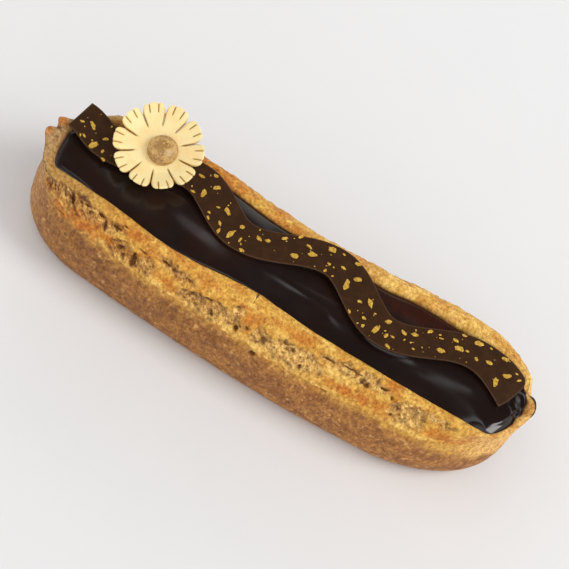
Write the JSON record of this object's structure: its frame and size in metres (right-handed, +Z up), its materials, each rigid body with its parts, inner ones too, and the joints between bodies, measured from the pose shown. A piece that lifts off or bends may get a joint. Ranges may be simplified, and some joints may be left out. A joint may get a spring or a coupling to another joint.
{
  "type": "chocolate eclair",
  "caption": "Choux eclair filled to the rim with dark chocolate glaze, topped with a wavy gold-flecked chocolate strip and a white chocolate flower.",
  "frame": {"origin": "centre of the bounding box in X and Y, on the plane that the flat base rests on", "axes": "+X along the eclair, away from the flower; +Y across it; +Z up"},
  "size_m": [0.1379, 0.0429, 0.0422],
  "materials": {
    "choux_pastry": "baked golden-brown crust, satin, with rough pale torn crumb",
    "dark_glaze": "near-black, glossy, poured",
    "dark_chocolate": "satin moulded chocolate with gold leaf flakes",
    "white_chocolate": "soft satin cream yellow",
    "praline": "mottled tan, waxy, dusted with gold"
  },
  "bodies": {
    "root": {"choux_shell": "choux_pastry", "chocolate_glaze": "dark_glaze", "glaze_run": "dark_glaze", "chocolate_strip": "dark_chocolate", "flower": "white_chocolate", "flower_centre": "praline"}
  },
  "joints": []
}
